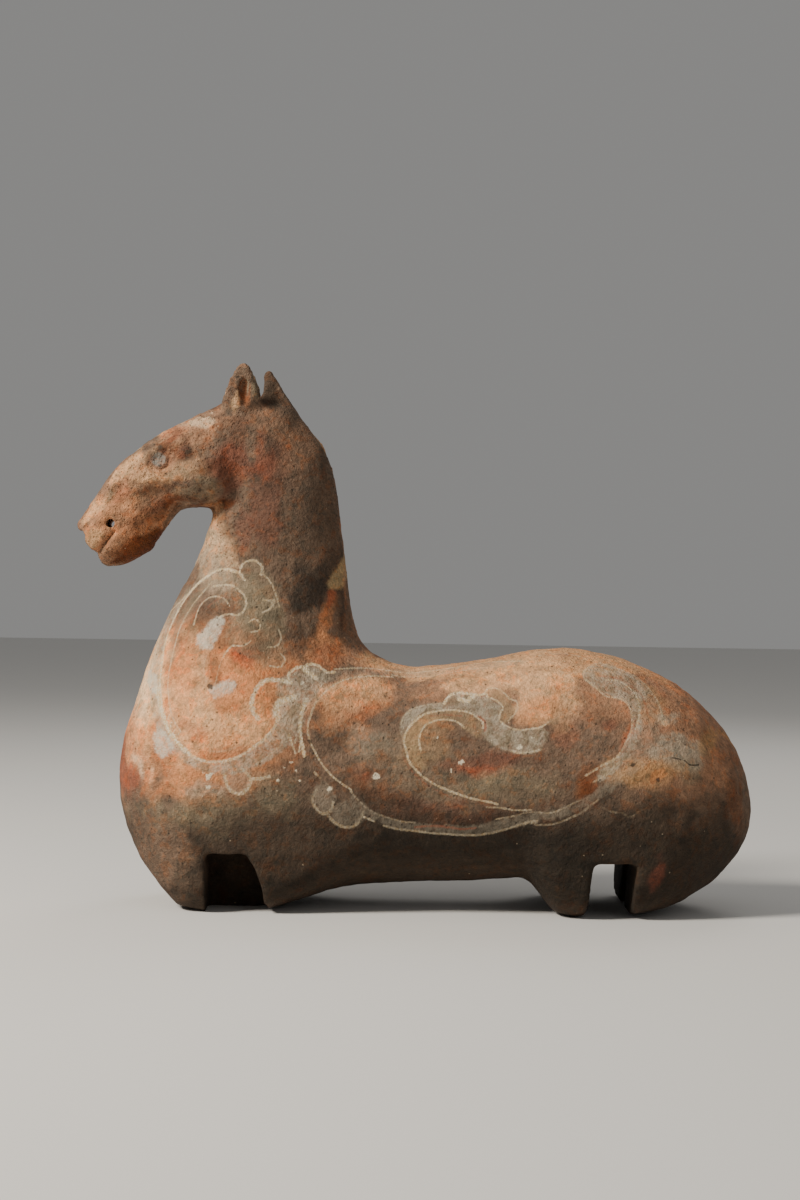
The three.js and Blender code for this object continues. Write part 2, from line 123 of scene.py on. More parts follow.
# Broad patches of colour, laid one over another: place and half widths in pixels of the photograph, the
# turn in degrees from level, the colour, and how much of it covers what is under it.
PATCHES = [
    # trunk and neck at large; the low dark patches of loam and umber are earthier clay on the belly,
    # deepened as painted shade
    (560, 665, 210, 60, 12, CLAY, 0.9), (540, 655, 150, 22, 0, PEACH, 0.45),
    (540, 655, 160, 26, 0, GOLD, 0.3), (690, 740, 70, 75, 40, CLAY, 0.6),
    (430, 836, 400, 62, 0, UMBER, 0.68), (430, 872, 420, 62, 0, LOAM_AND_SHADE, 0.9),
    (650, 870, 130, 60, 0, LOAM_AND_SHADE, 0.6), (270, 850, 90, 30, 0, UMBER, 0.6),
    (270, 480, 60, 110, 12, EARTH, 0.8), (290, 480, 46, 110, 12, UMBER, 0.4),
    (268, 500, 16, 60, 6, WINE, 0.3), (320, 520, 22, 90, 8, UMBER, 0.3),
    (214, 560, 22, 60, -20, CREAM, 0.3),
    # head
    (125, 515, 60, 50, -40, CLAY, 0.85), (118, 520, 34, 34, -40, ORANGE, 0.3),
    (150, 470, 60, 26, -38, PEACH, 0.22), (124, 470, 34, 7, -50, PEACH, 0.5),
    (95, 508, 8, 24, 30, PEACH, 0.5), (120, 494, 9, 16, 30, RED, 0.4),
    (109, 492, 4, 12, 38, OLIVE, 0.55), (93, 538, 9, 10, 30, SAND, 0.3),
    (128, 520, 20, 14, -30, EARTH, 0.35), (106, 548, 16, 9, -30, EARTH, 0.3),
    # painted shade: both patches here darken the underside of the jaw
    (144, 549, 40, 15, -28, BARK, 0.95), (140, 535, 20, 10, -30, RUST, 0.4),
    (188, 436, 46, 20, -32, CLAY, 0.7), (203, 421, 13, 6, -28, CREAM, 0.42),
    (178, 428, 22, 4, -34, PEACH, 0.5), (184, 451, 15, 10, -40, UMBER, 0.85),
    (166, 447, 16, 5, -26, BARK, 0.75), (148, 459, 4, 9, 10, UMBER, 0.6),
    (160, 473, 12, 4, 0, UMBER, 0.4), (140, 482, 22, 7, -36, EARTH, 0.5),
    (190, 468, 22, 9, -10, EARTH, 0.4), (170, 455, 30, 9, -30, WINE, 0.35),
    (176, 438, 16, 6, -30, RED, 0.3), (172, 474, 30, 8, -8, PEACH, 0.25),
    # painted shade: the second patch here darkens the hollow under the cheek ridge
    (146, 474, 12, 8, 0, PEACH, 0.25), (160, 497, 32, 11, -14, BARK, 0.55),
    (160, 496, 34, 13, -14, EARTH, 0.4), (150, 512, 30, 8, -24, BARK, 0.6),
    (201, 487, 26, 15, -12, EARTH, 0.5), (206, 484, 14, 9, 0, OLIVE, 0.5),
    (190, 494, 16, 8, 10, OLIVE, 0.4), (200, 490, 7, 6, 0, EARTH, 0.4),
    # painted shadow: the patches on this line and the first on the next darken the lower and rear edge of
    # the jaw
    (214, 505, 26, 7, -20, BARK, 0.95), (228, 501, 10, 6, -40, BARK, 0.5),
    (184, 503, 20, 5, -8, BARK, 0.5), (236, 440, 14, 30, 15, BARK, 0.4),
    (215, 468, 20, 8, -10, RUST, 0.3), (234, 462, 20, 34, 15, WINE, 0.5),
    (222, 430, 10, 14, 0, EARTH, 0.5), (270, 425, 26, 14, 30, CLAY, 0.3),
    (262, 470, 22, 26, 0, UMBER, 0.35), (262, 452, 9, 26, 0, RED, 0.25),
    (300, 450, 16, 30, 20, CLAY, 0.2), (243, 390, 9, 18, 0, EARTH, 0.6),
    (245, 392, 4, 14, -3, RUST, 0.7), (236, 396, 4, 14, 12, PEACH, 0.5),
    (255, 388, 5, 16, -12, OLIVE, 0.6), (243, 367, 6, 3, 0, CLAY, 0.5),
    (271, 392, 9, 18, -8, UMBER, 0.7),
    # neck
    (222, 540, 14, 44, -14, PEACH, 0.32), (243, 535, 8, 30, 5, WINE, 0.3),
    (330, 570, 14, 20, 0, UMBER, 0.6), (304, 592, 20, 22, -10, SOOT, 0.8),
    (322, 578, 10, 14, 0, SOOT, 0.4), (346, 606, 8, 28, -6, SOOT, 0.55),
    (326, 618, 8, 20, 10, ORANGE, 0.45), (326, 648, 22, 18, 0, ORANGE, 0.5),
    (329, 600, 4, 10, 16, RED, 0.6), (340, 578, 13, 8, -20, SAND, 0.55),
    (330, 655, 16, 12, 0, WINE, 0.3), (352, 655, 16, 12, 20, CLAY, 0.5),
    (300, 640, 16, 22, 0, UMBER, 0.35),
    # chest
    (208, 708, 94, 90, 0, ORANGE, 0.85), (150, 682, 20, 44, 16, PEACH, 0.9),
    (138, 696, 12, 34, 10, CREAM, 0.4), (130, 762, 16, 44, 0, RED, 0.55),
    # painted highlight: the first patch here lightens the front of the chest
    (142, 750, 16, 24, 0, PEACH, 0.3), (138, 766, 3, 16, -8, CREAM, 0.4),
    (150, 776, 3, 10, 0, CREAM, 0.3), (175, 790, 40, 18, 10, ORANGE, 0.5),
    (200, 812, 70, 26, 0, OLIVE, 0.5), (160, 850, 30, 40, 0, EARTH, 0.75),
    (208, 790, 24, 9, 0, GREY, 0.35), (250, 826, 80, 26, 0, UMBER, 0.6),
    (190, 700, 24, 56, 8, PEACH, 0.65), (182, 690, 10, 40, 4, ORANGE, 0.35),
    (185, 668, 12, 24, 0, ORANGE, 0.6), (230, 735, 46, 20, -12, ORANGE, 0.6),
    (236, 738, 36, 14, -12, PEACH, 0.5), (258, 612, 26, 44, -8, OLIVE, 0.6),
    # painted shade: the two soot patches here stand for the shadows in the scroll's curled crevices
    (270, 614, 9, 9, 0, SOOT, 0.6), (253, 628, 6, 6, 0, SOOT, 0.5), (266, 650, 10, 12, 0, UMBER, 0.6),
    (246, 655, 16, 6, -30, WINE, 0.5), (228, 608, 8, 6, 0, UMBER, 0.5), (276, 630, 5, 12, 0, UMBER, 0.5),
    (222, 722, 22, 10, 0, PEACH, 0.7), (250, 722, 16, 18, 0, PEACH, 0.4),
    (190, 728, 16, 7, 20, RED, 0.35), (240, 752, 34, 6, -6, RED, 0.35),
    (288, 712, 14, 22, 0, CREAM, 0.35), (244, 660, 16, 10, 0, RED, 0.6), (234, 651, 6, 5, 0, RED, 0.6),
    (258, 638, 18, 8, -10, RUST, 0.45), (256, 652, 16, 8, 0, UMBER, 0.4),
    (216, 604, 26, 18, -20, EARTH, 0.6), (205, 612, 9, 22, 22, UMBER, 0.35),
    (226, 606, 9, 7, 0, RUST, 0.35), (207, 640, 18, 38, 12, UMBER, 0.3),
    (214, 672, 7, 20, 0, UMBER, 0.5), (226, 640, 9, 12, 30, UMBER, 0.4),
    (270, 795, 34, 28, 0, OLIVE, 0.4), (290, 830, 50, 22, 0, UMBER, 0.5),
    # side
    (350, 700, 46, 24, -22, ORANGE, 0.5), (352, 694, 36, 16, -18, PEACH, 0.6),
    (332, 716, 12, 16, 0, PEACH, 0.3), (345, 712, 30, 16, 0, RED, 0.2),
    (430, 690, 40, 14, -4, CLAY, 0.6), (360, 732, 16, 10, 0, ORANGE, 0.5),
    (362, 752, 50, 28, 20, EARTH, 0.5), (372, 742, 30, 14, 10, GREY, 0.22),
    (378, 746, 12, 10, 0, UMBER, 0.35), (333, 742, 16, 12, 0, UMBER, 0.35),
    (366, 772, 12, 8, 0, RED, 0.4), (378, 790, 34, 12, 30, RUST, 0.4),
    (420, 785, 60, 22, 20, EARTH, 0.7), (440, 812, 60, 12, 4, WINE, 0.25),
    (390, 805, 60, 12, 14, UMBER, 0.5), (470, 820, 90, 9, 0, UMBER, 0.5),
    (424, 740, 26, 24, 10, GOLD, 0.35), (450, 745, 26, 18, 0, EARTH, 0.35),
    (430, 768, 80, 30, 16, OLIVE, 0.25), (178, 862, 26, 34, 0, EARTH, 0.5),
    (640, 770, 34, 14, 0, GOLD, 0.4), (484, 764, 46, 12, -6, WINE, 0.45),
    (478, 772, 26, 6, -4, RED, 0.35), (520, 785, 60, 16, -4, OLIVE, 0.45),
    (530, 800, 40, 10, -4, EARTH, 0.4), (545, 700, 36, 26, 0, PEACH, 0.6),
    (538, 712, 20, 12, -20, ORANGE, 0.5), (505, 680, 60, 14, -4, PEACH, 0.5),
    (566, 736, 15, 14, 30, RED, 0.22), (576, 720, 22, 12, 0, EARTH, 0.35),
    (584, 780, 14, 18, 30, RUST, 0.6), (588, 792, 9, 14, -20, BARK, 0.85),
    (560, 770, 24, 16, 0, EARTH, 0.5), (608, 722, 20, 14, 20, UMBER, 0.35),
    (608, 724, 12, 7, 15, WINE, 0.4), (628, 735, 5, 18, 12, RED, 0.4),
    # rump, and pale lines along the back edge of mane and neck (the second patch of the next line and the
    # first of the one after): worn edge with a painted rim highlight
    (672, 668, 30, 8, 28, ORANGE, 0.45), (318, 430, 26, 2.5, 52, PEACH, 0.5),
    (345, 560, 3, 90, -4, CLAY, 0.5), (650, 700, 14, 22, -20, GOLD, 0.35),
    (668, 718, 10, 8, 0, GREY, 0.5), (662, 724, 4, 4, 0, PEACH, 0.6), (678, 752, 26, 16, 10, GREY, 0.6),
    (686, 775, 14, 14, 0, OLIVE, 0.45), (712, 744, 14, 14, 40, GOLD, 0.6),
    (652, 776, 32, 16, 0, GOLD, 0.3), (640, 812, 70, 20, -6, UMBER, 0.35),
    (720, 770, 12, 20, -20, CLAY, 0.6), (740, 800, 12, 44, -4, RUST, 0.45),
    (676, 852, 80, 44, -4, UMBER, 0.4), (656, 872, 7, 18, 14, WINE, 0.5),
    (612, 790, 22, 8, -20, UMBER, 0.4),
]

# Painted areas with an edge of their own, by the points that their outlines run through.
AREAS = {
    "wash": [
        # band of the shoulder scroll, from its top round the chest side to the middle
        [(212, 575), (196, 583), (181, 597), (168, 614), (159, 634), (153, 653), (149, 676), (150, 701),
         (155, 722), (165, 740), (179, 757), (195, 769), (216, 775), (241, 773), (263, 764), (283, 751),
         (299, 738), (304, 722), (309, 704), (321, 688), (331, 676), (317, 666), (301, 667), (290, 675),
         (278, 681), (276, 703), (281, 712), (278, 722), (263, 741), (240, 757), (211, 763), (187, 753),
         (167, 727), (160, 686), (165, 643), (186, 598)],
        # arm that reaches into it
        [(400, 724), (404, 715), (413, 708), (430, 704), (445, 702), (449, 695), (460, 692), (478, 694),
         (492, 699), (503, 708), (499, 717), (509, 728), (524, 731), (541, 728), (549, 735), (541, 749),
         (524, 754), (506, 751), (492, 745), (482, 736), (485, 724), (476, 716), (461, 710), (440, 710),
         (424, 713), (411, 723), (403, 737)],
        # crescent over the haunch
        [(583, 674), (590, 666), (602, 663), (626, 671), (643, 682), (652, 694), (644, 700), (641, 712),
         (642, 728), (637, 744), (624, 762), (612, 774), (600, 782), (597, 774), (605, 765), (618, 757),
         (626, 745), (632, 730), (632, 715), (627, 703), (612, 697), (596, 688), (586, 681)],
    ],
    "faint": [
        # fade outside the crescent
        [(640, 694), (655, 698), (665, 712), (668, 730), (660, 750), (642, 768), (622, 784), (600, 799),
         (584, 807), (580, 802), (594, 792), (606, 780), (612, 772), (632, 752), (640, 728), (640, 708)],
        # top band of the long scroll
        [(330, 674), (350, 668), (385, 669), (425, 670), (470, 665), (520, 659), (522, 664), (480, 670),
         (430, 676), (392, 677), (358, 678), (335, 686), (317, 701), (309, 722), (302, 730), (304, 712),
         (314, 694)],
        # its lower band
        [(352, 793), (373, 812), (400, 821), (435, 825), (475, 825), (510, 817), (545, 812), (562, 808),
         (576, 806), (574, 813), (562, 818), (536, 822), (490, 833), (462, 835), (416, 831), (382, 824),
         (362, 812)],
        # beards under the scroll, and the fringe behind it
        [(222, 772), (232, 770), (246, 770), (253, 778), (249, 789), (240, 795), (230, 791), (224, 782)],
        [(316, 786), (325, 782), (335, 792), (333, 806), (322, 813), (314, 803)],
        [(333, 806), (350, 800), (366, 810), (362, 821), (346, 828), (332, 818)],
    ],
    "cloud": [
        # lobes round the shoulder scroll
        [(214, 576), (237, 570), (244, 562), (256, 560), (264, 568), (273, 581), (280, 600), (284, 622),
         (285, 644), (285, 661), (274, 669), (258, 664), (246, 655), (232, 650), (224, 640), (228, 627),
         (238, 616), (246, 608), (246, 597), (238, 589), (226, 585), (213, 587), (202, 594), (193, 608),
         (184, 626), (178, 646), (173, 664), (168, 658), (172, 636), (181, 612), (196, 592)],
    ],
    "milk": [
        [(223, 617), (223, 628), (217, 638), (213, 647), (206, 650), (198, 647), (197, 638), (204, 628),
         (213, 619)],
        [(234, 680), (236, 688), (226, 695), (215, 698), (210, 692), (209, 687), (217, 684), (226, 680)],
        [(149, 670), (156, 675), (158, 686), (154, 694), (149, 688), (147, 678)],
        [(155, 731), (163, 729), (171, 742), (174, 753), (161, 757), (154, 746)],
    ],
    "sand": [
        [(484, 692), (490, 688), (499, 689), (507, 694), (514, 701), (518, 708), (514, 716), (507, 722),
         (501, 721), (499, 715), (503, 706), (497, 700), (488, 697)],
        [(410, 722), (420, 714), (438, 711), (461, 711), (476, 719), (482, 728), (480, 738), (470, 734),
         (462, 726), (448, 720), (430, 723), (420, 733), (420, 752), (426, 768), (416, 768), (406, 750),
         (405, 735)],
    ],
}

# Brush strokes of one layer never run closer together than their own width. Each has its strength, its
# width in pixels and the points it runs through.
STROKES = {
    "main": [
        (1.0, 3.2, [(237, 572), (223, 569), (209, 575), (197, 585), (186, 598), (177, 613), (171, 626),
         (165, 643), (162, 662), (160, 682), (161, 699), (163, 712), (167, 726), (175, 739),
         (187, 752), (198, 759), (211, 762), (225, 761), (240, 756), (252, 748), (263, 740),
         (273, 729), (278, 718)]),
        (1.4, 3.2, [(288, 681), (289, 674), (296, 668), (303, 667), (311, 664), (319, 666), (326, 672),
         (333, 672)]),
        (0.75, 2.3, [(392, 677), (373, 676), (358, 677), (344, 680), (332, 686), (323, 694), (315, 704),
         (311, 715), (308, 726), (309, 738), (314, 750), (320, 761), (329, 773), (338, 781),
         (350, 789)]),
        (0.45, 2.0, [(350, 791), (361, 803), (373, 812), (386, 817), (400, 821), (416, 823)]),
        (0.45, 2.0, [(496, 819), (514, 816), (530, 812), (548, 813), (557, 811), (570, 805),
         (581, 800)]),
        (0.85, 2.5, [(483, 727), (483, 723), (478, 718), (470, 713), (461, 711), (450, 710), (438, 711),
         (425, 714), (415, 721), (408, 729), (404, 739), (406, 750), (409, 761), (416, 770),
         (425, 778), (436, 785), (447, 790), (458, 794), (470, 798), (484, 801), (497, 804)]),
        (0.7, 2.4, [(586, 680), (596, 688), (606, 696), (618, 698), (626, 702), (631, 711), (632, 722),
         (630, 734), (624, 746), (616, 758), (603, 765), (587, 775)]),
    ],
    "second": [
        (0.6, 2.2, [(211, 583), (199, 597), (190, 609), (181, 626), (176, 641), (171, 662), (168, 682),
         (169, 700), (172, 716), (180, 731)]),
        (1.1, 5.0, [(157, 690), (160, 706), (166, 724), (175, 740), (187, 752)]),
        (0.35, 2.0, [(193, 744), (210, 751), (228, 750), (246, 742)]),
        (0.8, 2.3, [(214, 586), (230, 585), (240, 591), (246, 599), (245, 609), (238, 615), (229, 614),
         (219, 617)]),
        (1.5, 4.6, [(257, 717), (252, 708), (253, 697), (259, 685), (269, 680), (278, 680), (288, 682)]),
        (0.8, 3.6, [(225, 777), (229, 789), (240, 794), (249, 787), (251, 779), (257, 779), (267, 777)]),
        (0.55, 3.2, [(329, 816), (334, 822), (344, 827), (354, 826), (360, 820), (363, 813)]),
        (0.62, 2.6, [(385, 826), (398, 829), (416, 831), (430, 833), (447, 834), (462, 835), (478, 835),
         (490, 833), (507, 829), (522, 824), (536, 821)]),
        (0.4, 2.2, [(536, 825), (546, 825), (557, 823), (570, 818), (584, 811), (598, 800)]),
        (0.8, 2.2, [(464, 728), (459, 723), (450, 720), (438, 720), (427, 724), (421, 732), (419, 741),
         (421, 751)]),
        (1.4, 3.2, [(445, 702), (448, 697), (455, 693), (462, 693), (470, 694), (478, 695), (484, 694)]),
        (0.8, 2.3, [(488, 697), (497, 701), (503, 708), (499, 716), (502, 723), (511, 728), (520, 730),
         (530, 729), (541, 727), (549, 722)]),
        (0.5, 2.0, [(392, 675), (407, 677), (430, 676), (453, 672), (480, 668)]),
        (0.55, 2.4, [(585, 680), (583, 673), (589, 667), (600, 663), (612, 667), (624, 671), (636, 677),
         (647, 687), (655, 697), (661, 710), (663, 723)]),
    ],
    "third": [
        (0.65, 2.4, [(201, 580), (181, 601), (168, 615), (161, 632), (156, 652), (151, 672), (150, 690),
         (152, 706)]),
        (0.85, 2.6, [(261, 573), (262, 567), (256, 561), (248, 561), (242, 565), (240, 572),
         (244, 579)]),
        (0.7, 2.0, [(194, 624), (200, 606), (211, 597), (223, 598), (229, 605)]),
        (0.7, 2.0, [(263, 574), (271, 583), (276, 595), (279, 606)]),
        (0.8, 2.2, [(264, 600), (272, 602), (270, 609), (263, 612)]),
        (0.8, 2.0, [(249, 622), (254, 619), (260, 623), (259, 630), (252, 632)]),
        (0.75, 2.0, [(279, 630), (281, 638), (277, 646), (269, 647)]),
        (0.75, 2.0, [(281, 654), (285, 660), (280, 667), (271, 666)]),
        (0.8, 2.0, [(224, 655), (232, 646), (242, 646), (251, 641)]),
        (0.4, 1.9, [(214, 690), (219, 668), (222, 660)]),
        (0.4, 1.9, [(206, 655), (204, 668), (206, 681)]),
        (1.6, 5.6, [(307, 671), (313, 676)]),
        (1.6, 6.0, [(276, 712), (278, 704), (283, 700), (291, 698)]),
        (1.3, 3.6, [(306, 701), (302, 712), (300, 726), (301, 739), (304, 754)]),
        (0.8, 2.4, [(290, 735), (292, 744), (295, 752)]),
        (0.5, 2.1, [(287, 738), (278, 748), (267, 757), (256, 764)]),
        (0.7, 3.2, [(243, 770), (248, 775)]),
        (0.55, 3.2, [(316, 791), (312, 798), (315, 807), (323, 814), (331, 810), (333, 804)]),
        (0.7, 2.4, [(364, 817), (373, 821)]),
        (0.6, 2.4, [(315, 773), (320, 778)]),
        (0.6, 2.2, [(487, 807), (502, 808), (514, 810), (530, 810)]),
        (0.5, 2.0, [(401, 724), (404, 716), (412, 709), (422, 706), (433, 704), (441, 703)]),
        (1.6, 5.0, [(462, 700), (467, 701), (471, 698)]),
        (0.65, 2.0, [(485, 692), (489, 688), (498, 689), (504, 693), (510, 699), (516, 701), (518, 707),
         (514, 715), (508, 720)]),
        (0.75, 2.4, [(512, 751), (520, 753), (530, 752), (540, 750)]),
        (0.7, 2.2, [(335, 669), (358, 668), (376, 669), (392, 671), (407, 673), (422, 672), (445, 669),
         (468, 665), (491, 662), (519, 661)]),
        (0.8, 2.2, [(607, 680), (618, 681), (627, 686), (635, 694), (639, 705), (639, 716), (636, 728)]),
        (0.5, 2.2, [(617, 764), (608, 773), (594, 782)]),
        (0.3, 2.2, [(541, 668), (556, 670), (570, 678), (580, 690), (585, 702)]),
        (0.3, 2.0, [(533, 676), (548, 680), (560, 690), (566, 702)]),
        (0.45, 2.2, [(536, 656), (552, 654), (568, 654), (584, 658)]),
        # worn back edge of mane and neck, lightened as a painted rim highlight
        (0.3, 2.0, [(285, 393), (301, 413), (318, 430), (335, 449), (341, 468), (349, 505), (355, 543)]),
        (0.25, 2.2, [(603, 808), (612, 812), (622, 813), (630, 817), (638, 812)]),
    ],
    "red": [
        (0.8, 2.6, [(416, 827), (438, 826), (461, 829), (474, 828)]),
        (0.6, 2.0, [(403, 757), (411, 770), (423, 782), (436, 790), (450, 797)]),
        (0.9, 3.4, [(479, 717), (485, 722), (485, 729)]),
        (0.5, 2.0, [(430, 716), (445, 715), (461, 716)]),
        (0.7, 3.0, [(601, 676), (612, 677), (624, 681), (634, 688), (643, 698), (647, 712)]),
        (0.6, 2.6, [(640, 672), (655, 684), (666, 696)]),
        (0.6, 2.4, [(204, 600), (196, 612), (190, 626), (186, 642)]),
        (0.5, 2.4, [(211, 655), (211, 668), (213, 680)]),
        (0.5, 2.6, [(236, 600), (228, 597), (218, 599), (209, 606)]),
        (0.45, 2.4, [(240, 624), (232, 632), (226, 644), (222, 652)]),
    ],
    "crack": [
        (1.0, 1.6, [(673, 758), (679, 759), (685, 761), (690, 765), (698, 765)]),
        (0.8, 1.2, [(680, 728), (685, 731), (689, 736)]),
        (0.8, 1.2, [(695, 713), (699, 716), (703, 720)]),
        (0.9, 1.4, [(190, 820), (191, 828), (189, 839)]),
        (0.7, 1.2, [(342, 856), (350, 860), (356, 867)]),
        (0.6, 1.4, [(628, 766), (633, 765), (637, 762)]),
        (0.6, 1.2, [(560, 790), (566, 786), (571, 787)]),
        (0.8, 1.6, [(419, 769), (422, 774), (424, 777)]),
        (0.5, 1.2, [(236, 540), (238, 552), (240, 561)]),
        # painted shadow: these two dark lines run along the lower and upper edge of the jaw's raised disc
        (0.12, 5.0, [(173, 486), (177, 497), (188, 505), (204, 509), (221, 504), (231, 490)]),
        (0.1, 4.0, [(172, 470), (184, 465), (198, 463)]),
        (0.6, 1.2, [(676, 712), (684, 718), (692, 721)]),
        (0.5, 1.2, [(648, 758), (655, 762), (660, 770)]),
        (0.5, 1.1, [(703, 744), (707, 750), (709, 757)]),
        (0.5, 1.2, [(186, 800), (189, 808), (187, 815)]),
        (0.5, 1.2, [(176, 846), (186, 852), (198, 853)]),
        (0.5, 1.1, [(232, 846), (238, 852), (247, 855)]),
        (0.5, 1.1, [(262, 832), (268, 842), (270, 852)]),
        (0.5, 1.2, [(150, 868), (158, 873), (167, 875)]),
        (0.6, 1.6, [(150, 460), (152, 453), (159, 450.5), (166, 453), (168, 460), (165, 467),
         (158, 469)]),
        (0.7, 1.6, [(114, 532), (108, 540), (103, 547), (101, 552)]),
    ],
}

# Small spots of each colour: place and half width, in pixels.
SPOTS = {
    "chalk": [
        (376, 776, 3.8), (461, 762, 3.2), (451, 770, 2.2), (438, 738, 1.8), (533, 739, 2.4),
        (519, 747, 3.0), (330, 789, 3.2), (209, 777, 3.4), (208, 787, 2.6), (291, 762, 2.4),
        (278, 780, 2.4), (302, 683, 2.2), (204, 772, 1.6), (213, 774, 1.4), (206, 781, 1.4),
        (212, 790, 1.6), (203, 796, 1.3), (284, 768, 1.4), (296, 771, 1.6), (281, 787, 1.3),
        (300, 780, 1.4), (315, 760, 1.4),
    ],
    "umber": [
        (337, 713, 2.2), (310, 741, 2.6), (386, 695, 2.2), (210, 686, 3.4), (658, 780, 2.6),
        (633, 765, 2.6), (160, 447, 2.6), (187, 452, 3.0),
    ],
    "soot": [
        (362, 821, 2.6), (445, 827, 2.2), (238, 746, 1.8), (229, 713, 1.6), (734, 836, 2.4),
        (154, 460, 1.6), (160, 466, 1.5), (200, 490, 1.6), (237, 376, 2.0),
    ],
}

# The horse's eye, a low disc with rings round it: their height in millimetres, distance from the disc's
# edge and half width in pixels.
EYE = (158.8, 459.5)
EYE_RADIUS = 7.6
EYE_RINGS = [(0.9, 0.0, 1.4), (-1.2, 3.4, 1.8)]

# Raised forms of the head: height in millimetres, centre and half widths in pixels, and turn.
PLATES = [
    (2.6, (198, 488), (26, 20), -6),  # jaw
    (1.7, (168, 446), (20, 6), -24),  # brow
    (1.1, (112, 492), (5, 13), 38),  # nostril
    (1.0, (93, 540), (12, 8), 32),  # upper lip
    (1.0, (108, 557), (12, 8), 20),  # lower lip
    (0.7, EYE, (EYE_RADIUS, EYE_RADIUS), 0),
]

# Where the bit hole goes through the muzzle, as X and Z, its radius, the clay round it that is drawn back
# to its wall, and how far from the middle it ends.
BIT_HOLE = np.array([-0.2731, 0.3379])
BIT_RADIUS = 4.0 * MM
HOLE_RIM = 1.2 * MM
MUZZLE_HALF = 34 * MM

# Modelled detail: how far it stands out in millimetres, its half width in pixels, and a line of points.
WORKED = [
    (1.7, 5.5, [(128, 478), (165, 477), (190, 474), (206, 468)]),
    (-2.6, 8.0, [(142, 497), (158, 493), (174, 489)]), (2.0, 12.0, [(198, 488), (213, 486)]),
    (-2.2, 4.0, [(184, 476), (198, 472), (212, 470)]), (-0.6, 1.6, [(199.5, 490), (200.5, 490)]),
    (-1.6, 3.0, [(150, 447), (168, 441), (184, 438)]),
    (1.5, 3.2, [(148, 453), (160, 448), (174, 447), (184, 450)]),
    (1.3, 3.4, [(118, 481), (111, 490), (103, 501)]), (-0.8, 2.6, [(122, 484), (115, 494), (108, 504)]),
    (0.9, 2.2, [(139, 450), (128, 459), (117, 470), (107, 483), (96, 502)]),
    (-2.4, 1.7, [(114.5, 531), (109, 538), (103, 546), (100, 552)]),
    (0.8, 3.0, [(120, 534), (112, 543), (107, 551)]), (0.8, 3.0, [(107, 529), (99, 539), (94, 546)]),
    (-0.6, 2.0, [(86, 528), (92, 531), (97, 537)]), (1.2, 2.4, [(239, 378), (237, 390), (239, 402)]),
    (-3.2, 3.6, [(245, 382), (244.5, 392), (244, 402)]),
    (0.9, 2.4, [(251, 377), (255, 388), (258, 398)]), (-1.0, 2.6, [(243, 371), (246, 373)]),
    (-0.8, 1.4, [(237, 376), (238, 377)]), (-0.6, 1.3, [(153.6, 459), (154.6, 461)]),
    (-0.6, 1.3, [(160, 465), (160.6, 466)]),
    (-0.8, 2.4, [(675, 759), (684, 761), (691, 765), (698, 765)]), (0.8, 2.6, [(667, 681), (669, 681)]),
    (-1.0, 6.5, [(226, 462), (236, 480), (236, 497), (228, 509)]),
    (-2.2, 5.0, [(180, 503), (196, 507), (214, 510)]), (-2.0, 8.0, [(182, 460), (202, 455)]),
    (0.9, 7.0, [(160, 459), (161, 460)]), (0.9, 6.0, [(176, 440), (196, 432)]),
    (0.5, 3.0, [(137, 468), (143, 474)]), (-0.5, 2.0, [(130, 500), (136, 508)]),
    (0.6, 5.0, [(112, 512), (106, 518)]), (0.6, 2.4, [(232, 497), (226, 504), (217, 509)]),
]

# The same, on the profile itself, where the surface faces the front or the top.
PROFILE = [
    (1.6, 3.4, [(80, 524), (82, 527)]), (-2.6, 2.4, [(83, 533), (86, 534)]),
    (0.9, 3.4, [(88, 541), (94, 547)]), (-4.2, 2.5, [(99, 553), (103, 550)]),
    (1.6, 3.0, [(104, 561), (108, 565)]), (0.9, 2.6, [(150, 551), (153, 549)]),
    (-0.8, 3.0, [(157, 543), (160, 540)]), (0.6, 3.0, [(184, 508), (196, 509)]),
    (2.2, 3.2, [(269, 374), (268, 377)]), (1.2, 4.0, [(240, 368), (246, 367)]),
    (-0.8, 3.0, [(140, 447), (131, 453)]), (0.6, 4.0, [(222, 405), (224, 403)]),
]


def linear(colour):
    """A screen colour as the shader wants it."""
    share = np.asarray(colour, float) / 255.0
    return np.where(share <= 0.04045, share / 12.92, ((share + 0.055) / 1.055) ** 2.4)


def add_object(name, data):
    added = bpy.data.objects.new(name, data)
    bpy.context.scene.collection.objects.link(added)
    return added


def add_camera():
    data = bpy.data.cameras.new("camera")
    data.sensor_width = SENSOR
    data.lens = SENSOR / 2 * DISTANCE / (PICTURE[1] / 2 * PIXEL)
    camera = add_object("camera", data)
    rows = np.column_stack([RIGHT, UP, -FORWARD, CAMERA_PLACE])
    camera.matrix_world = Matrix([*rows.tolist(), [0, 0, 0, 1]])
    bpy.context.scene.camera = camera


def in_picture(points):
    """Where points fall in the photograph, in its pixels. The far side is seen as the near side is."""
    offset = points - np.array([EYE_LINE[0], 0.0, EYE_LINE[1]])
    scale = DISTANCE / (DISTANCE - np.abs(points[:, 1])) / PIXEL
    across = PICTURE[0] / 2 + offset @ RIGHT * scale
    return np.column_stack([across, PICTURE[1] / 2 - offset @ UP * scale])


# Meshes as arrays


def read(items, name, width, kind=np.float32):
    """One property of each vertex, edge or normal of a mesh, as rows."""
    values = np.empty(len(items) * width, kind)
    items.foreach_get(name, values)
    return values.reshape(-1, width)


def read_points(mesh):
    return read(mesh.vertices, "co", 3).astype(float)


def read_edges(mesh):
    return read(mesh.edges, "vertices", 2, np.int32)


def read_normals(mesh):
    return read(mesh.vertex_normals, "vector", 3).astype(float)


def write_points(mesh, points):
    mesh.vertices.foreach_set("co", points.astype(np.float32).ravel())
    mesh.update()


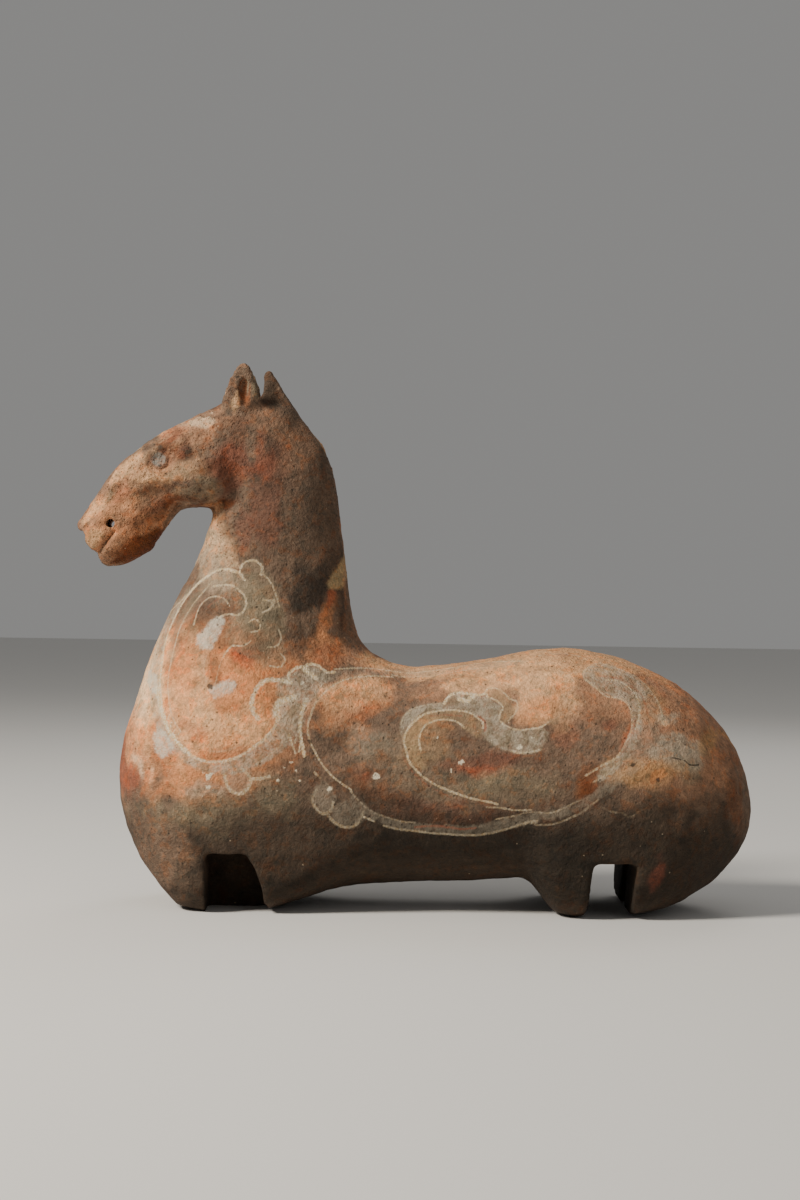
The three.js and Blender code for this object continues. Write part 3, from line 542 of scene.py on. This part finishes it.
def write_values(mesh, name, values):
    """Keeps three numbers at each point of the mesh, for the material to read."""
    attribute = mesh.attributes.new(name, "FLOAT_VECTOR", "POINT")
    attribute.data.foreach_set("vector", values.astype(np.float32).ravel())


def smooth_surface(points, edges, weights, rounds, pull=0.5, push=-0.52):
    """Takes facets off without shrinking the form: each round pulls points in, then pushes them out."""
    ends = np.concatenate([edges[:, 0], edges[:, 1]])
    others = np.concatenate([edges[:, 1], edges[:, 0]])
    counts = np.maximum(np.bincount(ends, minlength=len(points)), 1)[:, None]
    for _ in range(rounds):
        for step in (pull, push):
            sums = [np.bincount(ends, points[others, axis], len(points)) for axis in range(3)]
            points = points + step * weights[:, None] * (np.column_stack(sums) / counts - points)
    return points


def ramp(values, low, high):
    share = np.clip((values - low) / (high - low), 0.0, 1.0)
    return share * share * (3 - 2 * share)


def inside_corner(places, limit, blend):
    """1 for places well left of the limit and above it, falling to 0 at it."""
    shares = ramp(np.array(limit) - places, 0.0, np.array(blend))
    return shares[:, 0] * shares[:, 1]


# Noise that is the same each time
TILT = np.array(Euler(TURNS).to_matrix())


def lattice(cells, seed):
    """A steady random number from -1 to 1 for each whole-numbered cell."""
    mixed = cells @ np.array([374761393, 668265263, 2147483647]) + seed * 144665
    mixed = (mixed ^ (mixed >> 13)) * 1274126177
    mixed = mixed ^ (mixed >> 16)
    return (mixed & 0xFFFF) / 32767.5 - 1.0


def noise(points, size, seed):
    """Smooth noise from about -1 to 1 whose lumps are of that size."""
    scaled = points @ TILT / size
    base = np.floor(scaled).astype(np.int64)
    part = scaled - base
    part = part * part * part * (part * (part * 6 - 15) + 10)
    total = np.zeros(len(points))
    for corner in range(8):
        step = np.array([corner & 1, corner >> 1 & 1, corner >> 2 & 1])
        weight = np.prod(np.where(step, part, 1 - part), axis=1)
        total += weight * lattice(base + step, seed)
    return total


def layered_noise(points, size, seed):
    total = np.zeros(len(points))
    for layer in range(3):
        total += noise(points + 7.31 * layer * size, size / 2**layer, seed + layer) / 2**layer
    return total


def drift(points, size, seed):
    """Smooth noise in two directions."""
    return np.column_stack([noise(points, size, seed), noise(points, size, seed + 1)])


# Lines and areas in the picture


def curve_through(points, spacing, closed=False):
    """Points close together on the smooth curve that runs through the given ones."""
    points = np.asarray(points, float)
    count = len(points)
    pieces = []
    for span in range(count if closed else count - 1):
        corners = span + np.array([-1, 0, 1, 2])
        corners = corners % count if closed else np.clip(corners, 0, count - 1)
        before, start, end, after = points[corners]
        samples = max(2, int(np.linalg.norm(end - start) / spacing) + 1)
        t = np.linspace(0, 1, samples, endpoint=False)[:, None]
        bend = (2 * before - 5 * start + 4 * end - after) * t**2
        twist = (3 * start - before - 3 * end + after) * t**3
        pieces.append(0.5 * (2 * start + (end - before) * t + bend + twist))
    if not closed:
        pieces.append(points[-1:])
    return np.concatenate(pieces)


def distance_to_line(places, line):
    """How far each place is from a chain of points."""
    nearest = np.full(len(places), np.inf)
    for start, end in zip(line[:-1], line[1:]):
        along = end - start
        share = np.clip((places - start) @ along / max(along @ along, 1e-9), 0, 1)
        gap = places - start - share[:, None] * along
        nearest = np.minimum(nearest, np.einsum("ij,ij->i", gap, gap))
    return np.sqrt(nearest)


def depth_inside(places, outline):
    """How deep each place lies inside a closed outline, below zero outside it."""
    result = np.full(len(places), -FAR)
    near = np.all((places > outline.min(0) - FAR) & (places < outline.max(0) + FAR), axis=1)
    some = places[near]
    if len(some) == 0:
        return result
    ring = np.vstack([outline, outline[:1]])
    inside = np.zeros(len(some), bool)
    for start, end in zip(ring[:-1], ring[1:]):
        crosses = (start[1] > some[:, 1]) != (end[1] > some[:, 1])
        rise = end[1] - start[1] or 1e-9
        at = start[0] + (some[:, 1] - start[1]) / rise * (end[0] - start[0])
        inside ^= crosses & (some[:, 0] < at)
    distance = distance_to_line(some, ring)
    result[near] = np.maximum(np.where(inside, distance, -distance), -FAR)
    return result


# The clay


def even_copy(node):
    """The solid's surface as an even mesh of small squares."""
    mesh = node.data.copy()
    cleaned = bmesh.new()
    cleaned.from_mesh(mesh)
    bmesh.ops.remove_doubles(cleaned, verts=cleaned.verts, dist=0.01 * MM)
    cleaned.to_mesh(mesh)
    cleaned.free()
    clay = add_object("painted_clay", mesh)
    remesh = clay.modifiers.new("even", "REMESH")
    remesh.mode = "VOXEL"
    remesh.voxel_size = VOXEL
    graph = bpy.context.evaluated_depsgraph_get()
    even = bpy.data.meshes.new_from_object(clay.evaluated_get(graph))
    clay.modifiers.clear()
    clay.data = even
    return clay


def refine_head(mesh):
    """Splits each face of the head and crown in four."""
    places = in_picture(read_points(mesh))
    inside = np.all(places < HEAD_PART, axis=1) | np.all(places < CROWN, axis=1)
    work = bmesh.new()
    work.from_mesh(mesh)
    work.verts.ensure_lookup_table()
    faces = [face for face in work.faces if all(inside[vertex.index] for vertex in face.verts)]
    edges = list({edge for face in faces for edge in face.edges})
    bmesh.ops.subdivide_edges(work, edges=edges, cuts=1, use_grid_fill=True)
    bmesh.ops.triangulate(work, faces=[face for face in work.faces if len(face.verts) > 4])
    work.to_mesh(mesh)
    work.free()


def keep_to_hole(points):
    """Draws the wall of the bit hole back to a clean round."""
    across = points[:, [0, 2]] - BIT_HOLE
    radius = np.linalg.norm(across, axis=1)
    share = ramp(BIT_RADIUS + HOLE_RIM - radius, 0.0, 1.0 * MM) * (np.abs(points[:, 1]) < MUZZLE_HALF)
    factor = 1 + share * (BIT_RADIUS / np.maximum(radius, 1e-6) - 1)
    result = points.copy()
    result[:, [0, 2]] = BIT_HOLE + across * factor[:, None]
    return result


def turned_distance(places, centre, reach, turn):
    """Distance from the centre of a turned oval, as a share of its half widths."""
    turn = math.radians(turn)
    across = places - np.array(centre)
    along = across[:, 0] * math.cos(turn) + across[:, 1] * math.sin(turn)
    over = across[:, 1] * math.cos(turn) - across[:, 0] * math.sin(turn)
    return np.sqrt((along / reach[0]) ** 2 + (over / reach[1]) ** 2)


def worked_relief(places, normals):
    """Height of the modelled detail at each point, in metres. It fades where the surface turns away."""
    height = np.zeros(len(places))
    sideways = ramp(np.abs(normals[:, 1]), 0.1, 0.45)
    across_middle = ramp(-np.abs(normals[:, 1]), -0.75, -0.3)
    marks = [(mark, sideways) for mark in WORKED] + [(mark, across_middle) for mark in PROFILE]
    for (rise, width, line), fade in marks:
        line = curve_through(line, 3.0) if len(line) > 2 else np.asarray(line, float)
        reach = 2.6 * width
        near = np.all((places > line.min(0) - reach) & (places < line.max(0) + reach), axis=1)
        if near.any():
            distance = distance_to_line(places[near], line)
            height[near] += fade[near] * rise * MM * np.exp(-((distance / width) ** 2))
    for rise, centre, reach, turn in PLATES:
        distance = turned_distance(places, centre, reach, turn)
        height += sideways * rise * MM * ramp(-distance, -1.22, -0.9)
    from_eye = np.linalg.norm(places - EYE, axis=1) - EYE_RADIUS
    for rise, out, width in EYE_RINGS:
        height += sideways * rise * MM * np.exp(-(((from_eye - out) / width) ** 2))
    return height


def hand_relief(points, head):
    """Unevenness left by the hand that shaped the clay, and small losses since, in metres. The head,
    where its share is 1, shows the finer marks."""
    height = sum(rise * noise(points, size * MM, seed) for rise, size, seed in HAND_MARKS)
    pits = noise(points, 9 * MM, 21) + 0.5 * noise(points, 4.6 * MM, 22)
    height -= 0.9 * ramp(pits, 0.85, 1.25)
    bits = noise(points, 8 * MM, 31) + 0.5 * noise(points, 4.2 * MM, 32)
    height += 0.5 * ramp(bits, 0.85, 1.3)
    small = noise(points, 3.6 * MM, 35)
    height += head * (0.3 * small - 0.6 * ramp(small + 0.4 * pits, 0.7, 1.1))
    return height * MM


def make_clay():
    clay = even_copy(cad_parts["horse"])
    mesh = clay.data
    points = read_points(mesh)
    places = in_picture(points)
    tips = sum(np.exp(-((np.linalg.norm(places - tip, axis=1) / TIP_REACH) ** 2)) for tip in TIPS)
    weights = np.clip(1 - 0.8 * tips, 0.15, 1)
    write_points(mesh, smooth_surface(points, read_edges(mesh), weights, rounds=12))
    refine_head(mesh)
    points = smooth_surface(read_points(mesh), read_edges(mesh), np.ones(len(mesh.vertices)), rounds=3)
    points = keep_to_hole(points)
    write_points(mesh, points)
    normals = read_normals(mesh)
    places = in_picture(points)
    in_hole = np.linalg.norm(points[:, [0, 2]] - BIT_HOLE, axis=1) < BIT_RADIUS + HOLE_RIM / 2
    marks = hand_relief(points, inside_corner(places, HEAD_PART, 15))
    height = worked_relief(places, normals) + marks * np.where(in_hole, 0.0, 1.0)
    lift = ramp(points[:, 2], 1.5 * MM, 8 * MM)
    points = points + normals * (height * lift)[:, None]
    points[:, 2] = np.maximum(points[:, 2], 0.0)
    write_points(mesh, points)
    for polygon in mesh.polygons:
        polygon.use_smooth = True
    return clay


# The paint


def far_side_shift(points):
    """The painter's hand was a little different on the right side."""
    return np.where(points[:, 1:2] > 0, FAR_SIDE_SHIFT, 0.0) * drift(points, 60 * MM, 71)


def ground_colours(points, places, normals):
    """The mottled colour of clay and slip at each point, with painted shade on surfaces that face down low
    on the body, before the shader's finer work.
    """
    colours = np.tile(linear(EARTH), (len(points), 1))
    ragged = 0.5 * layered_noise(points, 26 * MM, 41) + 0.4 * layered_noise(points, 9 * MM, 47)
    ends = ramp(-np.abs(normals[:, 1]), -0.8, -0.2)
    places = places + (END_WANDER * ends)[:, None] * drift(points, 50 * MM, 53)
    places = places + SIDE_WANDER * drift(points, 18 * MM, 51)
    for x, y, wide, high, turn, colour, cover in PATCHES:
        distance = turned_distance(places, (x, y), (wide, high), turn)
        edge = 0.65 * min(1.0, RAGGED / min(wide, high)) * ragged
        share = ramp(-distance - edge, -1.22, -0.62) * cover
        colours += share[:, None] * (linear(colour) - colours)
    upright = ramp(points[:, 2], 0.2, 0.3)
    level_streak = noise(points * np.array([0.22, 1.0, 1.0]), 5 * MM, 81)
    upright_streak = noise(points * np.array([1.0, 1.0, 0.3]), 6 * MM, 83)
    streak = level_streak + upright * (upright_streak - level_streak)
    mottle = noise(points, 13 * MM, 85) + 0.7 * noise(points, 6 * MM, 87)
    colours *= (1 + 0.14 * streak + 0.1 * mottle)[:, None]
    head = inside_corner(places, (250, 560), (25, 30))
    dark = ramp(noise(points, 5 * MM, 91) + 0.6 * noise(points, 2.8 * MM, 93), 0.1, 0.8)
    colours += (0.5 * head * dark)[:, None] * (0.45 * colours + 0.1 * linear(BARK) - colours)
    # painted shade: surfaces that face down, low on the body, darken towards umber
    under = ramp(-normals[:, 2], 0.35, 0.9) * ramp(-points[:, 2], -0.16, -0.06)
    colours += (0.7 * under)[:, None] * (linear(UMBER) - colours)
    return colours


def stroke_layer(clay, strokes, tree_of_faces):
    """For each point of the clay: how far it is across from the layer's nearest stroke and how far in
    all, both in half widths of the stroke, and how strong that stroke is."""
    samples = []
    for strength, width, line in strokes:
        for side in (1.0, -1.0):
            path = curve_through(line, 1.0)
            mirror = np.array([1.0, side, 1.0])
            if side < 0:
                rough = np.column_stack([path * PIXEL, np.full(len(path), 0.5)])
                path = path + FAR_SIDE_WOBBLE * drift(rough, 50 * MM, 61)
            hits = []
            for place in path:
                across, down = (place - np.array(PICTURE) / 2) * PIXEL / DISTANCE
                ray = (FORWARD + RIGHT * across - UP * down) * mirror
                hit, normal, _, _ = tree_of_faces.ray_cast(Vector(CAMERA_PLACE * mirror), Vector(ray))
                if hit is not None:
                    hits.append((np.array(hit), np.array(normal)))
            seen = strength if side > 0 else strength * FAR_SIDE_STRENGTH
            for index, (hit, normal) in enumerate(hits):
                ahead = hits[min(index + 2, len(hits) - 1)][0] - hits[max(index - 2, 0)][0]
                across = np.cross(normal, ahead) * side
                across /= max(np.linalg.norm(across), 1e-9)
                samples.append((hit, across, width / 2 * PIXEL, seen))
    tree = KDTree(len(samples))
    for index, sample in enumerate(samples):
        tree.insert(Vector(sample[0]), index)
    tree.balance()
    points = read_points(clay.data)
    values = np.tile([BEYOND, BEYOND, 0.0], (len(points), 1))
    rows = in_picture(points)[:, 1]
    for index in np.nonzero((rows > PAINTED_ROWS[0]) & (rows < PAINTED_ROWS[1]))[0]:
        point = points[index]
        _, found, gap = tree.find(Vector(point))
        place, across, half, strength = samples[found]
        values[index] = ((point - place) @ across / half, gap / half, strength)
    return np.clip(values, -BEYOND, BEYOND)


def spot_depth(places, spots):
    """How deep each point is inside the nearest of the spots, in pixels."""
    depth = np.full(len(places), -BEYOND)
    for x, y, radius in spots:
        depth = np.maximum(depth, radius - np.linalg.norm(places - (x, y), axis=1))
    return depth


def paint(clay):
    mesh = clay.data
    points = read_points(mesh)
    normals = read_normals(mesh)
    places = in_picture(points) + far_side_shift(points)
    write_values(mesh, "ground", ground_colours(points, places, normals))
    depths = {}
    for name, outlines in AREAS.items():
        depth = np.full(len(points), -FAR)
        for outline in outlines:
            depth = np.maximum(depth, depth_inside(places, curve_through(outline, 4.0, closed=True)))
        depths[name] = depth
    write_values(mesh, "areas", np.column_stack([depths["wash"], depths["cloud"], depths["milk"]]))
    eye = EYE_RADIUS - np.linalg.norm(places - EYE, axis=1)
    write_values(mesh, "areas_too", np.column_stack([depths["sand"], depths["faint"], eye]))
    spots = [spot_depth(places, SPOTS[name]) for name in ("chalk", "umber", "soot")]
    write_values(mesh, "spots", np.column_stack(spots))
    faces = [list(polygon.vertices) for polygon in mesh.polygons]
    tree_of_faces = BVHTree.FromPolygons([vertex.co.copy() for vertex in mesh.vertices], faces)
    for name, strokes in STROKES.items():
        write_values(mesh, f"line_{name}", stroke_layer(clay, strokes, tree_of_faces))


# The material


class Shading:
    """Short ways to add the nodes of one material."""

    def __init__(self, material):
        material.use_nodes = True
        self.tree = material.node_tree
        self.shader = self.tree.nodes["Principled BSDF"]
        self.upright = self.add("TexCoord", "Object", {})
        self.tilted = self.add("Mapping", 0, {"Vector": self.upright, "Rotation": TURNS})

    def feed(self, socket, value):
        if isinstance(value, bpy.types.NodeSocket):
            self.tree.links.new(value, socket)
        elif np.ndim(value):
            socket.default_value = (*value, 1.0) if len(socket.default_value) == 4 else value
        else:
            socket.default_value = value

    def add(self, kind, output, inputs, **settings):
        """Adds a node of that kind with its settings and inputs, and gives one of its outputs."""
        node = self.tree.nodes.new("ShaderNode" + kind)
        for name, value in settings.items():
            setattr(node, name, value)
        for name, value in inputs.items():
            self.feed(node.inputs[name], value)
        return node.outputs[output]

    def parts(self, vector):
        return tuple(self.add("SeparateXYZ", 0, {0: vector}).node.outputs)

    def values(self, name):
        """The three numbers kept at each point under that name."""
        return self.parts(self.add("Attribute", "Vector", {}, attribute_name=name))

    def math(self, operation, first, second=0.0, third=0.0, clamp=False):
        return self.add("Math", 0, {0: first, 1: second, 2: third}, operation=operation, use_clamp=clamp)

    def times(self, first, second):
        return self.math("MULTIPLY", first, second)

    def shifted(self, shift):
        """The tilted place moved by some steps, so that no two patterns fall together."""
        steps = (shift, shift * 1.7, shift * 0.6)
        return self.add("VectorMath", 0, {0: self.tilted, 1: steps}, operation="ADD")

    def noise(self, size, detail, rough, shift, warp=0.0):
        """Noise of about that grain size, from 0 to 1."""
        inputs = {"Vector": self.shifted(shift), "Scale": 1.0 / size, "Detail": detail}
        return self.add("TexNoise", "Fac", {**inputs, "Roughness": rough, "Distortion": warp})

    def grains(self, size, shift, reach, pick):
        """1 inside scattered grains: those whose own random number is past the pick."""
        inputs = {"Vector": self.shifted(shift), "Scale": 1.0 / size}
        distance = self.add("TexVoronoi", "Distance", inputs)
        random = self.parts(distance.node.outputs["Color"])[0]
        return self.times(self.step(distance, *reach), self.step(random, *pick))

    def step(self, value, low, high, to_low=0.0, to_high=1.0):
        """Rises smoothly from one level to another as the value goes from low to high."""
        inputs = {"Value": value, "From Min": low, "From Max": high, "To Min": to_low, "To Max": to_high}
        return self.add("MapRange", "Result", inputs, interpolation_type="SMOOTHSTEP")

    def mix(self, share, under, over, mode="MIX"):
        return self.add("Mix", 2, {0: share, 6: under, 7: over}, data_type="RGBA", blend_type=mode)


def clay_material():
    material = bpy.data.materials.new("painted_terracotta")
    s = Shading(material)
    broad = s.noise(26 * MM, 3, 0.6, 1.0)
    patchy = s.noise(9 * MM, 3, 0.62, 2.0, warp=0.4)
    fine = s.noise(3.2 * MM, 3, 0.65, 3.0)
    grain = s.noise(1.3 * MM, 2, 0.7, 4.0)
    wear = s.noise(5.5 * MM, 4, 0.68, 5.0)
    wear_fine = s.noise(1.8 * MM, 2, 0.6, 6.0)

    # ground: mottled clay, with redder, cooler and lighter places, and grit, darker in the small hollows of
    # the bump as painted shade
    colour = s.add("Attribute", "Vector", {}, attribute_name="ground")
    colour = s.mix(s.step(patchy, 0.5, 0.74, 0, 0.3), colour, linear(UMBER))
    ruddy = s.noise(14 * MM, 4, 0.65, 7.0)
    warm = s.noise(10 * MM, 4, 0.65, 21.0, warp=0.6)
    cool = s.noise(8 * MM, 4, 0.65, 23.0, warp=0.6)
    light = s.noise(5 * MM, 4, 0.7, 25.0, warp=0.3)
    for pattern, low, high, tint in (
        (broad, 0.4, 0.26, (1.16, 1.12, 1.04)),
        (ruddy, 0.55, 0.72, (1.06, 0.8, 0.66)),
        (warm, 0.52, 0.62, (1.2, 0.97, 0.82)),
        (cool, 0.52, 0.62, (0.76, 0.83, 0.86)),
        (light, 0.54, 0.64, (1.22, 1.2, 1.16)),
    ):
        colour = s.mix(s.step(pattern, low, high), colour, tint, "MULTIPLY")
    # random tone of the grit, darker where the bump dips: painted shade in its small hollows
    grain_tone_and_hollow_shade = s.times(s.step(fine, 0.28, 0.72, 0.8, 1.18), s.step(grain, 0.25, 0.75, 0.86, 1.14))
    colour = s.mix(1.0, colour, grain_tone_and_hollow_shade, "MULTIPLY")

    # painted areas
    wash, cloud, milk = s.values("areas")
    sand, faint, eye = s.values("areas_too")
    ragged = s.math("MULTIPLY_ADD", s.math("SUBTRACT", wear, 0.5), 9.0, 0.5)
    keep = s.times(s.step(wear, 0.34, 0.56, 0.45, 1.0), s.step(wear_fine, 0.3, 0.6, 0.7, 1.0))
    washed = s.mix(s.step(patchy, 0.4, 0.65), linear(GREY), linear(OLIVE))
    for depth, tint, cover, rag in (
        (faint, linear(GREY), 0.26, 1.2),
        (sand, linear(SAND), 0.24, 1.0),
        (cloud, linear(OLIVE), 0.42, 1.4),
        (wash, washed, 0.74, 0.7),
        (milk, linear(MILK), 0.72, 1.0),
        (eye, linear(SLATE), 0.9, 0.1),
    ):
        edge = s.math("MULTIPLY_ADD", ragged, rag, depth)
        colour = s.mix(s.times(s.step(edge, -1.4, 2.6, 0.0, cover), keep), colour, tint)

    # brush lines
    broken = s.noise(2.6 * MM, 3, 0.6, 9.0)
    rough_edge = s.times(s.math("SUBTRACT", broken, 0.5), 2.2)
    cream = s.mix(s.step(wear_fine, 0.35, 0.65), linear(SAND), linear(CHALK))
    for name, tint, body in (
        ("red", linear(RED), 0.55),
        ("third", cream, 0.78),
        ("second", cream, 0.78),
        ("main", cream, 0.8),
        ("crack", linear(SOOT), 0.95),
    ):
        across, away, strength = s.values(f"line_{name}")
        across = s.math("ADD", s.math("ABSOLUTE", across), rough_edge)
        share = s.times(s.step(across, 1.4, 0.25), s.step(away, 2.3, 1.6))
        gate = s.math("MULTIPLY_ADD", strength, 0.5, s.math("SUBTRACT", 0.78, wear))
        share = s.times(share, s.step(gate, 0.28, 0.8, 0.12, 1.0))
        share = s.math("MULTIPLY", share, s.math("MULTIPLY_ADD", strength, 0.65, 0.25), clamp=True)
        colour = s.mix(s.times(share, body), colour, tint)

    # spots, pits and grains
    chalk, umber, soot = s.values("spots")
    small_rag = s.times(s.math("SUBTRACT", fine, 0.5), 6.0)
    for depth, tint in ((umber, UMBER), (soot, SOOT), (chalk, CHALK)):
        share = s.step(s.math("ADD", depth, small_rag), -0.6, 1.0, 0.0, 0.9)
        colour = s.mix(share, colour, linear(tint))
    along, _, up = s.parts(s.upright)
    head = s.times(s.step(along, -0.13, -0.16), s.step(up, 0.28, 0.32))
    pits = s.grains(3.6 * MM, 11.0, (0.3, 0.16), (0.93, 0.95))
    pocks = s.times(s.grains(2.1 * MM, 17.0, (0.5, 0.2), (0.66, 0.74)), head)
    flecks = s.grains(4.2 * MM, 13.0, (0.22, 0.1), (0.975, 0.985))
    for grains, cover, tint in ((pits, 0.6, SOOT), (pocks, 0.42, BARK), (flecks, 0.35, CREAM)):
        colour = s.mix(s.times(grains, cover), colour, linear(tint))
    s.feed(s.shader.inputs["Base Color"], colour)

    # surface: dull, with grit, pores and faint tool marks
    s.feed(s.shader.inputs["Specular IOR Level"], 0.25)
    s.feed(s.shader.inputs["Roughness"], s.step(fine, 0.2, 0.8, 0.78, 0.98))
    height = 0.0
    for pattern, rise in (
        (fine, 1.1), (grain, 0.5), (wear, 1.1), (patchy, 1.0),
        (pits, -0.8), (pocks, -0.6), (flecks, 0.3),
    ):
        height = s.math("MULTIPLY_ADD", pattern, rise, height)
    bump = s.add("Bump", "Normal", {"Strength": 0.85, "Distance": 1.9 * MM, "Height": height})
    s.feed(s.shader.inputs["Normal"], bump)
    return material


def add_floor():
    mesh = bpy.data.meshes.new("floor")
    corners = [(-FLOOR, -FLOOR, 0), (FLOOR, -FLOOR, 0), (FLOOR, FLOOR, 0), (-FLOOR, FLOOR, 0)]
    mesh.from_pydata(corners, [], [(0, 1, 2, 3)])
    material = bpy.data.materials.new("floor")
    material.use_nodes = True
    shader = material.node_tree.nodes["Principled BSDF"]
    shader.inputs["Base Color"].default_value = PALE_FLOOR
    shader.inputs["Roughness"].default_value = 0.95
    mesh.materials.append(material)
    add_object("floor", mesh)


def add_light(name, place, size, power, colour):
    data = bpy.data.lights.new(name, "AREA")
    data.shape = "DISK"
    data.size = size
    data.energy = power
    data.color = colour
    light = add_object(name, data)
    light.location = place
    light.rotation_mode = "QUATERNION"
    light.rotation_quaternion = (Vector(MIDDLE) - Vector(place)).to_track_quat("-Z", "Y")


def add_studio():
    world = bpy.data.worlds.new("studio")
    world.use_nodes = True
    background = world.node_tree.nodes["Background"]
    background.inputs["Color"].default_value = STUDIO
    background.inputs["Strength"].default_value = STUDIO_STRENGTH
    bpy.context.scene.world = world


add_camera()
for light in LIGHTS:
    add_light(*light)
add_studio()
add_floor()

clay = make_clay()
paint(clay)
clay.data.materials.clear()
clay.data.materials.append(clay_material())
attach(clay, "root")
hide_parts("horse")
